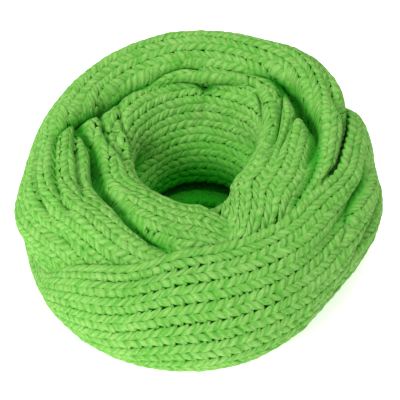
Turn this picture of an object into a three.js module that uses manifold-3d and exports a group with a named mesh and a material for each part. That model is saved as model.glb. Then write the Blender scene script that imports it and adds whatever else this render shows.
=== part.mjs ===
// An infinity scarf: one long strip of chunky rib knit, joined end to end and wound twice.
// It stands by itself as a soft ring round an open neck hollow.
// Millimetres, +Z up, the front of the ring towards -Y, its sole on z = 0.
import * as THREE from 'three';
import Module from 'manifold-3d';

const wasm = await Module();
wasm.setup();

// The knit
const WALES = 16; // knitted ribs across the strip
const RIB_HEIGHT = 1.8;
const RIB_POINTS = 3; // points across each rib on the outer face
const WALL = 6.5; // thickness between the ribs
const INNER_POINTS = 21; // steps across the plain inner face
const HEM_BULGE = 2; // how far the rounded hem stands past the wall's end

// Spaces
const SEAM_GAP = 0.3; // between two stretches of one turn
const LAYER_GAP = 0.4; // between two layers of cloth that touch
const SECTION_STEP = 10; // degrees between two sections

// Ribs fade out between these heights, so that the sole stays flat where it rests
const SOLE_FLAT = 2;
const SOLE_RIBBED = 14;

// Where the middle of the ring stands, so that the whole scarf is centred on the origin
const RING_CENTRE = { x: -1.1, y: 1.4 };

const YARN = { color: 0x72ba4e, roughness: 0.95, metalness: 0 };

// Angles run round the ring in degrees: 0 front, 90 right, 180 back, -90 left.
// A row holds the angle, then the radius and height of each named point across the strip.
const OUTER_TURN = [
  // angle, hemIn, soleIn, soleOut, belly, shoulder, edge, curl
  [-180, [37, 8], [58, 0], [130, 0], [168, 28], [160, 42], [154, 54], [147, 62]],
  [-150, [38, 8], [59, 0], [128, 0], [166, 28], [158, 40], [152, 50], [146, 57]],
  [-120, [40, 8], [61, 0], [126, 0], [163, 26], [156, 38], [150, 48], [144, 55]],
  [-90, [41, 8], [61, 0], [126, 0], [162, 26], [155, 38], [149, 48], [142, 54]],
  [-68, [42, 8], [60, 0], [126, 0], [161, 26], [156, 37], [151, 42], [144, 45]],
  [-60, [40, 8], [58, 0], [128, 0], [164, 34], [161, 44], [157, 49], [150, 52]],
  [-52, [40, 8], [58, 0], [131, 0], [168, 38], [164, 58], [157, 69], [148, 74]],
  [-42, [40, 8], [58, 0], [134, 0], [172, 42], [166, 70], [152, 86], [140, 91]],
  [-25, [40, 8], [58, 0], [136, 0], [176, 44], [167, 76], [144, 95], [123, 102]],
  [-10, [40, 8], [58, 0], [136, 0], [175, 45], [165, 80], [137, 101], [104, 108]],
  [10, [40, 8], [58, 0], [132, 0], [171, 46], [160, 80], [130, 104], [96, 107]],
  [30, [40, 8], [58, 0], [124, 0], [161, 46], [155, 78], [127, 103], [95, 107]],
  [50, [40, 8], [58, 0], [115, 0], [151, 44], [149, 76], [126, 101], [98, 107]],
  [68, [40, 8], [58, 0], [117, 0], [153, 40], [151, 72], [131, 98], [103, 108]],
  [90, [42, 8], [60, 0], [126, 0], [164, 38], [162, 71], [146, 97], [125, 104]],
  [102, [44, 8], [62, 0], [128, 0], [165, 40], [163, 72], [152, 95], [136, 102]],
  [111, [44, 8], [63, 0], [131, 0], [171, 40], [170, 72], [161, 92], [148, 99]],
  [120, [42, 8], [62, 0], [132, 0], [175, 40], [175, 69], [169, 86], [160, 95]],
  [132, [40, 8], [61, 0], [132, 0], [173, 34], [168, 54], [163, 64], [156, 70]],
  [142, [39, 8], [60, 0], [132, 0], [171, 30], [163, 43], [157, 50], [150, 53]],
  [180, [37, 8], [58, 0], [130, 0], [168, 28], [160, 42], [154, 54], [147, 62]],
];
const INNER_TURN = [
  // angle, hemOut, side, crown, top, lip, wall, hemIn
  [38, [124, 64], [118, 74], [110, 82], [100, 86], [88, 86], [80, 78], [80, 64]],
  [26, [126, 66], [120, 78], [110, 87], [92, 93], [68, 96], [60, 86], [64, 72]],
  [15, [128, 68], [122, 80], [110, 90], [88, 98], [54, 99], [48, 88], [58, 70]],
  [2, [132, 68], [126, 82], [110, 93], [82, 102], [44, 100], [43, 86], [56, 62]],
  [-12, [136, 66], [131, 80], [112, 94], [80, 105], [44, 100], [42, 66], [50, 30]],
  [-25, [142, 60], [139, 74], [117, 97], [80, 107], [45, 100], [42, 62], [50, 24]],
  [-42, [146, 55], [144, 70], [122, 103], [83, 108], [46, 100], [42, 60], [48, 22]],
  [-52, [150, 55], [147, 74], [124, 108], [84, 108], [48, 100], [43, 60], [48, 20]],
  [-60, [155, 53], [154, 74], [128, 111], [86, 108], [51, 100], [43, 60], [49, 18]],
  [-68, [158, 50], [160, 74], [131, 112], [89, 108], [54, 100], [46, 60], [50, 18]],
  [-78, [161, 47], [166, 73], [134, 113], [92, 108], [58, 100], [49, 60], [52, 18]],
  [-96, [159, 46], [161, 75], [136, 115], [98, 109], [65, 100], [53, 60], [55, 18]],
  [-115, [160, 46], [164, 78], [141, 118], [108, 111], [75, 101], [60, 60], [58, 18]],
  [-140, [162, 48], [168, 82], [147, 123], [119, 115], [90, 104], [68, 62], [60, 18]],
  [-160, [164, 50], [170, 86], [152, 126], [124, 119], [100, 108], [74, 64], [62, 18]],
  [-180, [166, 50], [171, 87], [153, 128], [126, 121], [103, 110], [77, 66], [62, 18]],
  [-200, [167, 54], [173, 90], [155, 126], [127, 120], [101, 110], [76, 66], [62, 18]],
  [-214, [167, 59], [177, 94], [160, 124], [126, 118], [95, 109], [72, 64], [60, 18]],
  [-224, [162, 64], [174, 96], [158, 121], [123, 116], [88, 109], [68, 64], [58, 18]],
  [-232, [151, 70], [167, 95], [153, 118], [119, 115], [80, 109], [63, 64], [56, 18]],
  [-244, [137, 66], [149, 92], [140, 115], [109, 114], [64, 108], [54, 63], [52, 18]],
  [-258, [124, 62], [132, 91], [122, 111], [93, 113], [50, 107], [46, 61], [49, 18]],
  [-275, [117, 62], [121, 90], [110, 109], [80, 112], [41, 105], [42, 60], [48, 18]],
  [-300, [114, 64], [113, 86], [102, 103], [74, 110], [36, 102], [37, 60], [46, 20]],
  [-315, [114, 66], [112, 83], [101, 98], [74, 108], [46, 103], [34, 78], [50, 24]],
  [-325, [115, 66], [112, 81], [102, 95], [80, 106], [56, 104], [35, 83], [53, 23]],
  [-335, [117, 66], [113, 79], [103, 92], [88, 103], [69, 102], [37, 86], [54, 22]],
  [-350, [120, 66], [116, 77], [108, 85], [97, 91], [82, 91], [39, 84], [54, 22]],
  [-360, [122, 64], [118, 75], [110, 83], [98, 86], [80, 85], [44, 78], [54, 22]],
];

// Creases, as soft troughs in the outer face: angle, share across the strip, half width, depth
const OUTER_TURN_FOLDS = {
  rightValley: [
    [106, 0.9, 13, 0],
    [92, 0.87, 13, 8],
    [74, 0.85, 13, 9],
    [49, 0.81, 14, 5],
    [26, 0.76, 14, 0],
  ],
};
const INNER_TURN_FOLDS = {
  leftFold: [
    [0, 0.27, 10, 0],
    [-10, 0.29, 10, 6],
    [-26, 0.36, 10, 9],
    [-42, 0.43, 11, 11],
    [-72, 0.5, 11, 13],
    [-90, 0.51, 11, 14],
    [-102, 0.5, 11, 12],
    [-112, 0.45, 10, 8],
    [-122, 0.41, 10, 0],
  ],
  rimCrease: [
    [-96, 0.3, 11, 0],
    [-109, 0.37, 11, 7],
    [-129, 0.49, 11, 7],
    [-150, 0.5, 10, 5],
    [-173, 0.5, 9, 4],
    [-200, 0.49, 10, 5],
    [-218, 0.46, 11, 9],
    [-232, 0.41, 12, 14],
    [-247, 0.35, 12, 15],
    [-265, 0.3, 12, 12],
    [-281, 0.28, 11, 9],
    [-309, 0.25, 10, 5],
    [-325, 0.25, 10, 0],
  ],
  backRoll: [
    [-138, 0.5, 9, 0],
    [-160, 0.57, 9, 5],
    [-185, 0.6, 9, 6],
    [-201, 0.58, 9, 5],
    [-218, 0.55, 9, 0],
  ],
  leftPleat: [
    [-84, 0.63, 8, 0],
    [-98, 0.63, 8, 4],
    [-121, 0.58, 8, 5],
    [-134, 0.55, 8, 0],
  ],
  rightPleat: [
    [-218, 0.5, 9, 0],
    [-230, 0.53, 9, 5],
    [-246, 0.54, 9, 6],
    [-266, 0.5, 9, 0],
  ],
  lowerRoll: [
    [-84, 0.15, 10, 0],
    [-69, 0.17, 10, 4],
    [-56, 0.19, 10, 5],
    [-38, 0.21, 10, 0],
  ],
};

// The stretches that show, with the angles where each starts and ends
const OUTER_STRETCHES = {
  outer_turn_left: [-130, -50],
  outer_turn_front: [-50, 40],
  outer_turn_right: [40, 132],
  outer_turn_back: [132, 230],
};
const INNER_STRETCHES = {
  inner_turn_front: [-40, 38],
  inner_turn_left: [-120, -40],
  inner_turn_back: [-214, -120],
  inner_turn_right: [-300, -214],
  inner_turn_tuck: [-360, -300],
};

// Returns a function that reads the table's columns at any angle, on smooth curves between its rows
function tableReader(rows, closed = false) {
  const sorted = [...rows].sort((a, b) => a[0] - b[0]);
  const angles = sorted.map((row) => row[0]);
  const values = sorted.flatMap((row) => row.slice(1).flat());
  const reader = new THREE.CubicInterpolant(angles, values, values.length / sorted.length);
  if (closed) {
    reader.settings = {
      endingStart: THREE.WrapAroundEnding,
      endingEnd: THREE.WrapAroundEnding,
    };
  }
  return (angle) => [...reader.evaluate(angle)];
}

function makeTurn(rows, folds, closed) {
  return {
    closed,
    read: tableReader(rows, closed),
    folds: Object.values(folds).map((foldRows) => tableReader(foldRows)),
  };
}

const outerTurn = makeTurn(OUTER_TURN, OUTER_TURN_FOLDS, true);
const innerTurn = makeTurn(INNER_TURN, INNER_TURN_FOLDS, false);

// The angle within the table's own turn
function tableAngle(turn, angle) {
  return turn.closed ? THREE.MathUtils.euclideanModulo(angle + 180, 360) - 180 : angle;
}

// How deep the creases are at one share across the strip, each made wider by a margin
function troughDepth(turn, angle, share, length, margin) {
  let depth = 0;
  for (const fold of turn.folds) {
    const [centre, halfWidth, deepest] = fold(angle);
    const distance = ((share - centre) * length) / (halfWidth + margin);
    depth += Math.max(deepest, 0) * Math.exp(-distance * distance);
  }
  return depth;
}

// One cross section of the wall, as a closed outline of [radius, height]: out along the ribbed
// outer face, round the hem, back along the plain inner face and round the other hem
function sectionOutline(turn, rawAngle, grow) {
  const angle = tableAngle(turn, rawAngle);
  const values = turn.read(angle);
  const points = [];
  for (let k = 0; k < values.length; k += 2) {
    points.push(new THREE.Vector3(values[k], values[k + 1], 0));
  }
  const curve = new THREE.CatmullRomCurve3(points, false, 'centripetal');
  const length = curve.getLength();

  // A point on the curve, moved out along its normal
  function offset(share, outward) {
    const point = curve.getPointAt(share);
    const tangent = curve.getTangentAt(share);
    return [point.x + outward * tangent.y, Math.max(point.y, 0) - outward * tangent.x];
  }

  const outline = [];
  const outerSteps = WALES * RIB_POINTS;
  for (let i = 0; i <= outerSteps; i += 1) {
    const share = i / outerSteps;
    const height = curve.getPointAt(share).y;
    const ribbed = THREE.MathUtils.smoothstep(height, SOLE_FLAT, SOLE_RIBBED);
    const rib = RIB_HEIGHT * Math.abs(Math.sin(Math.PI * WALES * share)) * ribbed;
    outline.push(offset(share, rib - troughDepth(turn, angle, share, length, 0) + grow));
  }
  outline.push(hemPoint(curve, 1, grow));
  for (let i = INNER_POINTS; i >= 0; i -= 1) {
    const share = i / INNER_POINTS;
    const depth = troughDepth(turn, angle, share, length, WALL / 2);
    outline.push(offset(share, -WALL - depth - grow));
  }
  outline.push(hemPoint(curve, 0, grow));
  return outline;
}

// The middle of the wall's end, a little past it, so that the hem is rounded
function hemPoint(curve, share, grow) {
  const point = curve.getPointAt(share);
  const tangent = curve.getTangentAt(share);
  const past = (HEM_BULGE + grow) * (share === 1 ? 1 : -1);
  return [
    point.x + past * tangent.x - (WALL / 2) * tangent.y,
    point.y + past * tangent.y + (WALL / 2) * tangent.x,
  ];
}

// The wall between two angles, as a closed solid, cut back at both ends by half a gap
function stretchSolid(turn, start, end, { grow = 0, gap = SEAM_GAP } = {}) {
  const steps = Math.round((end - start) / SECTION_STEP);
  const positions = [];
  const outlines = [];
  for (let i = 0; i <= steps; i += 1) {
    const angle = start + ((end - start) * i) / steps;
    const radians = THREE.MathUtils.degToRad(angle);
    const inset = (i === 0 ? gap / 2 : 0) - (i === steps ? gap / 2 : 0);
    outlines.push(sectionOutline(turn, angle, grow));
    for (const [radius, height] of outlines[i]) {
      positions.push(
        RING_CENTRE.x + radius * Math.sin(radians) + inset * Math.cos(radians),
        RING_CENTRE.y - radius * Math.cos(radians) + inset * Math.sin(radians),
        height,
      );
    }
  }

  const count = outlines[0].length;
  const triangles = [];
  for (let i = 0; i < steps; i += 1) {
    const here = i * count;
    const there = here + count;
    for (let k = 0; k < count; k += 1) {
      const next = (k + 1) % count;
      triangles.push(here + k, there + k, there + next);
      triangles.push(here + k, there + next, here + next);
    }
  }
  for (const [a, b, c] of capFaces(outlines[0])) {
    triangles.push(a, b, c);
  }
  const last = steps * count;
  for (const [a, b, c] of capFaces(outlines[steps])) {
    triangles.push(last + a, last + c, last + b);
  }

  return new wasm.Manifold(
    new wasm.Mesh({
      numProp: 3,
      vertProperties: new Float32Array(positions),
      triVerts: new Uint32Array(triangles),
    }),
  );
}

function capFaces(outline) {
  const corners = outline.map(([radius, height]) => new THREE.Vector2(radius, height));
  return THREE.ShapeUtils.triangulateShape(corners, []);
}

// The biggest of a cut solid's bodies: small ends that another layer hides are dropped
function largestBody(solid) {
  const bodies = solid.decompose();
  return bodies.reduce((best, body) => (body.volume() > best.volume() ? body : best));
}

function addStretch(group, name, solid) {
  const { numProp, vertProperties, triVerts } = solid.getMesh();
  const positions = [];
  for (let i = 0; i < vertProperties.length; i += numProp) {
    positions.push(...vertProperties.subarray(i, i + 3));
  }
  const geometry = new THREE.BufferGeometry();
  geometry.setAttribute('position', new THREE.Float32BufferAttribute(positions, 3));
  geometry.setIndex([...triVerts]);
  geometry.computeVertexNormals();
  const mesh = new THREE.Mesh(geometry, new THREE.MeshStandardMaterial(YARN));
  mesh.name = name;
  group.add(mesh);
}

const scarf = new THREE.Group();
scarf.name = 'infinity_scarf';

for (const [name, [start, end]] of Object.entries(OUTER_STRETCHES)) {
  addStretch(scarf, name, stretchSolid(outerTurn, start, end));
}

// Thicker copies of some stretches, in place and carried over the seams, for other layers to clear
function keepOut(turn, stretches) {
  return stretches.flatMap(([start, end]) => {
    return [SEAM_GAP, -SEAM_GAP].map((gap) => {
      return stretchSolid(turn, start, end, { grow: LAYER_GAP, gap });
    });
  });
}

// The inner turn keeps clear of the outer one, and its tucked end keeps clear of its front
const outerKeepOut = keepOut(outerTurn, Object.values(OUTER_STRETCHES));
const frontKeepOut = keepOut(innerTurn, [INNER_STRETCHES.inner_turn_front]);
for (const [name, [start, end]] of Object.entries(INNER_STRETCHES)) {
  const inTheWay = name === 'inner_turn_tuck' ? [...outerKeepOut, ...frontKeepOut] : outerKeepOut;
  const uncut = stretchSolid(innerTurn, start, end);
  const cut = inTheWay.reduce((solid, other) => solid.subtract(other), uncut);
  addStretch(scarf, name, largestBody(cut));
}

export default scarf;
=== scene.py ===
"""An infinity scarf of chunky rib knit, wound twice into a soft ring round an open neck hollow.

Each stretch of the strip is a thin shell on its solid's form, dressed with the knitted strands that show.
The tables are in millimetres, as in the part's source, and everything made from them is in metres.
"""

import math

import bmesh
import bpy
import numpy as np
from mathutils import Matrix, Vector
from mathutils.bvhtree import BVHTree

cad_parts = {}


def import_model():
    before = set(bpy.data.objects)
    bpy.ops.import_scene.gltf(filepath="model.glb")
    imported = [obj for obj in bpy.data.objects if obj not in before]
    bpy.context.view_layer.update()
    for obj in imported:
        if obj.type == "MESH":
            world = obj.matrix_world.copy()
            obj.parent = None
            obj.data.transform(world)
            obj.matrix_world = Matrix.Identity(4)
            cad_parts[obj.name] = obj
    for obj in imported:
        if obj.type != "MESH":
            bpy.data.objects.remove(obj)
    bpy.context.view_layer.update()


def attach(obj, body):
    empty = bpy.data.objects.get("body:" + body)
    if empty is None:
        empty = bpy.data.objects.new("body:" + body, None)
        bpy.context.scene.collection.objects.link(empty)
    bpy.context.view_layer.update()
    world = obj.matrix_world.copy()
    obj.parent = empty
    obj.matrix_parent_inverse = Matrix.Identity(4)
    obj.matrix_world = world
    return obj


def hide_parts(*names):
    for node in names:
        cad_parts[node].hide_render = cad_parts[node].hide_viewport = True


MM = 0.001

# The knit: ribs across the strip, the length of a row of stitches, and the cloth's thickness
WALES = 16
ROW_PITCH = 9.6
WALL = 6.5
# Ribs at the outer turn's lower hem that are laid on its hidden face too, which shows in the hollow
FOOT_WALES = 2
# The inner turn's whole width: where less of it shows, the ribs along its hems are tucked out of sight
INNER_WIDTH = 234.0
# How much of that width is missing where the ribs have moved all the way to their tucked places
NARROWING = 12.0
# Share across the whole strip of its fold over the hollow's rim, on the right and on the left, and the
# angles between which one passes into the other
RIM_SHARES = (0.58, 0.62)
RIM_ANGLES = (-215, -145)
# Which named point of the inner turn's section is the rim of the hollow
LIP_POINT = 4
# How far the wall's rounded hems stand out past the strip's edges
HEM_BULGE = 2.0
RING_CENTRE = (-1.1, 1.4)

# Shells: the gap between stretches and between layers, degrees between sections, points across a rib
SEAM_GAP = 0.3
LAYER_GAP = 0.4
SHELL_STEP = 1.5
SHELL_POINTS = 8
# Degrees and points for the coarser walls that the shells are cut back with
CUTTER_STEP = 4
CUTTER_POINTS = 4
# How far a shell lies under its solid's face, to make room for strands, and how much more between ribs
SHELL_SUNK = 2.6
VALLEY_SUNK = 1.4
# Heights between which that sets in, so that the sole stays flat
SOLE_FLAT = 2.0
SOLE_RIBBED = 14.0

# Half width of a crease in the cloth, as a share of the trough in its solid
CREASE_SHARPNESS = 0.65

# The roll beside a sharp line: where its crest lies and how wide it is, in half widths of the line, how
# much farther off it stands, and how far it leans over the line for each millimetre that it stands up
ROLL_PLACE = 2
ROLL_WIDTH = 1.5
ROLL_MARGIN = 1
LEAN = 1.7

# Strands start above the first height, so that the sole rests flat, and none reaches below the second
STRAND_FLOOR = 4.5
FLOOR_CLEARANCE = 0.4

# Angles run round the ring in degrees: 0 front, 90 right, 180 back, -90 left.
# A row holds the angle, then the radius and height of each named point across the strip.
OUTER_TURN = [
    # angle, hemIn, soleIn, soleOut, belly, shoulder, edge, curl
    [-180, [37, 8], [58, 0], [130, 0], [168, 28], [160, 42], [154, 54], [147, 62]],
    [-150, [38, 8], [59, 0], [128, 0], [166, 28], [158, 40], [152, 50], [146, 57]],
    [-120, [40, 8], [61, 0], [126, 0], [163, 26], [156, 38], [150, 48], [144, 55]],
    [-90, [41, 8], [61, 0], [126, 0], [162, 26], [155, 38], [149, 48], [142, 54]],
    [-68, [42, 8], [60, 0], [126, 0], [161, 26], [156, 37], [151, 42], [144, 45]],
    [-60, [40, 8], [58, 0], [128, 0], [164, 34], [161, 44], [157, 49], [150, 52]],
    [-52, [40, 8], [58, 0], [131, 0], [168, 38], [164, 58], [157, 69], [148, 74]],
    [-42, [40, 8], [58, 0], [134, 0], [172, 42], [166, 70], [152, 86], [140, 91]],
    [-25, [40, 8], [58, 0], [136, 0], [176, 44], [167, 76], [144, 95], [123, 102]],
    [-10, [40, 8], [58, 0], [136, 0], [175, 45], [165, 80], [137, 101], [104, 108]],
    [10, [40, 8], [58, 0], [132, 0], [171, 46], [160, 80], [130, 104], [96, 107]],
    [30, [40, 8], [58, 0], [124, 0], [161, 46], [155, 78], [127, 103], [95, 107]],
    [50, [40, 8], [58, 0], [115, 0], [151, 44], [149, 76], [126, 101], [98, 107]],
    [68, [40, 8], [58, 0], [117, 0], [153, 40], [151, 72], [131, 98], [103, 108]],
    [90, [42, 8], [60, 0], [126, 0], [164, 38], [162, 71], [146, 97], [125, 104]],
    [102, [44, 8], [62, 0], [128, 0], [165, 40], [163, 72], [152, 95], [136, 102]],
    [111, [44, 8], [63, 0], [131, 0], [171, 40], [170, 72], [161, 92], [148, 99]],
    [120, [42, 8], [62, 0], [132, 0], [175, 40], [175, 69], [169, 86], [160, 95]],
    [132, [40, 8], [61, 0], [132, 0], [173, 34], [168, 54], [163, 64], [156, 70]],
    [142, [39, 8], [60, 0], [132, 0], [171, 30], [163, 43], [157, 50], [150, 53]],
    [180, [37, 8], [58, 0], [130, 0], [168, 28], [160, 42], [154, 54], [147, 62]],
]
INNER_TURN = [
    # angle, hemOut, side, crown, top, lip, wall, hemIn
    [38, [124, 64], [118, 74], [110, 82], [100, 86], [88, 86], [80, 78], [80, 64]],
    [26, [126, 66], [120, 78], [110, 87], [92, 93], [68, 96], [60, 86], [64, 72]],
    [15, [128, 68], [122, 80], [110, 90], [88, 98], [54, 99], [48, 88], [58, 70]],
    [2, [132, 68], [126, 82], [110, 93], [82, 102], [44, 100], [43, 86], [56, 62]],
    [-12, [136, 66], [131, 80], [112, 94], [80, 105], [44, 100], [42, 66], [50, 30]],
    [-25, [142, 60], [139, 74], [117, 97], [80, 107], [45, 100], [42, 62], [50, 24]],
    [-42, [146, 55], [144, 70], [122, 103], [83, 108], [46, 100], [42, 60], [48, 22]],
    [-52, [150, 55], [147, 74], [124, 108], [84, 108], [48, 100], [43, 60], [48, 20]],
    [-60, [155, 53], [154, 74], [128, 111], [86, 108], [51, 100], [43, 60], [49, 18]],
    [-68, [158, 50], [160, 74], [131, 112], [89, 108], [54, 100], [46, 60], [50, 18]],
    [-78, [161, 47], [166, 73], [134, 113], [92, 108], [58, 100], [49, 60], [52, 18]],
    [-96, [159, 46], [161, 75], [136, 115], [98, 109], [65, 100], [53, 60], [55, 18]],
    [-115, [160, 46], [164, 78], [141, 118], [108, 111], [75, 101], [60, 60], [58, 18]],
    [-140, [162, 48], [168, 82], [147, 123], [119, 115], [90, 104], [68, 62], [60, 18]],
    [-160, [164, 50], [170, 86], [152, 126], [124, 119], [100, 108], [74, 64], [62, 18]],
    [-180, [166, 50], [171, 87], [153, 128], [126, 121], [103, 110], [77, 66], [62, 18]],
    [-200, [167, 54], [173, 90], [155, 126], [127, 120], [101, 110], [76, 66], [62, 18]],
    [-214, [167, 59], [177, 94], [160, 124], [126, 118], [95, 109], [72, 64], [60, 18]],
    [-224, [162, 64], [174, 96], [158, 121], [123, 116], [88, 109], [68, 64], [58, 18]],
    [-232, [151, 70], [167, 95], [153, 118], [119, 115], [80, 109], [63, 64], [56, 18]],
    [-244, [137, 66], [149, 92], [140, 115], [109, 114], [64, 108], [54, 63], [52, 18]],
    [-258, [124, 62], [132, 91], [122, 111], [93, 113], [50, 107], [46, 61], [49, 18]],
    [-275, [117, 62], [121, 90], [110, 109], [80, 112], [41, 105], [42, 60], [48, 18]],
    [-300, [114, 64], [113, 86], [102, 103], [74, 110], [36, 102], [37, 60], [46, 20]],
    [-315, [114, 66], [112, 83], [101, 98], [74, 108], [46, 103], [34, 78], [50, 24]],
    [-325, [115, 66], [112, 81], [102, 95], [80, 106], [56, 104], [35, 83], [53, 23]],
    [-335, [117, 66], [113, 79], [103, 92], [88, 103], [69, 102], [37, 86], [54, 22]],
    [-350, [120, 66], [116, 77], [108, 85], [97, 91], [82, 91], [39, 84], [54, 22]],
    [-360, [122, 64], [118, 75], [110, 83], [98, 86], [80, 85], [44, 78], [54, 22]],
]

# Creases, as soft troughs in the outer face: angle, share across the strip, half width, depth
OUTER_TURN_FOLDS = {
    "right_valley": [
        [106, 0.9, 13, 0],
        [92, 0.87, 13, 8],
        [74, 0.85, 13, 9],
        [49, 0.81, 14, 5],
        [26, 0.76, 14, 0],
    ],
}
INNER_TURN_FOLDS = {
    "left_fold": [
        [0, 0.27, 10, 0],
        [-10, 0.29, 10, 6],
        [-26, 0.36, 10, 9],
        [-42, 0.43, 11, 11],
        [-72, 0.5, 11, 13],
        [-90, 0.51, 11, 14],
        [-102, 0.5, 11, 12],
        [-112, 0.45, 10, 8],
        [-122, 0.41, 10, 0],
    ],
    "rim_crease": [
        [-96, 0.3, 11, 0],
        [-109, 0.37, 11, 7],
        [-129, 0.49, 11, 7],
        [-150, 0.5, 10, 5],
        [-173, 0.5, 9, 4],
        [-200, 0.49, 10, 5],
        [-218, 0.46, 11, 9],
        [-232, 0.41, 12, 14],
        [-247, 0.35, 12, 15],
        [-265, 0.3, 12, 12],
        [-281, 0.28, 11, 9],
        [-309, 0.25, 10, 5],
        [-325, 0.25, 10, 0],
    ],
    "back_roll": [
        [-138, 0.5, 9, 0],
        [-160, 0.57, 9, 5],
        [-185, 0.6, 9, 6],
        [-201, 0.58, 9, 5],
        [-218, 0.55, 9, 0],
    ],
    "left_pleat": [
        [-84, 0.63, 8, 0],
        [-98, 0.63, 8, 4],
        [-121, 0.58, 8, 5],
        [-134, 0.55, 8, 0],
    ],
    "right_pleat": [
        [-218, 0.5, 9, 0],
        [-230, 0.53, 9, 5],
        [-246, 0.54, 9, 6],
        [-266, 0.5, 9, 0],
    ],
    "lower_roll": [
        [-84, 0.15, 10, 0],
        [-69, 0.17, 10, 4],
        [-56, 0.19, 10, 5],
        [-38, 0.21, 10, 0],
    ],
}

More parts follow.
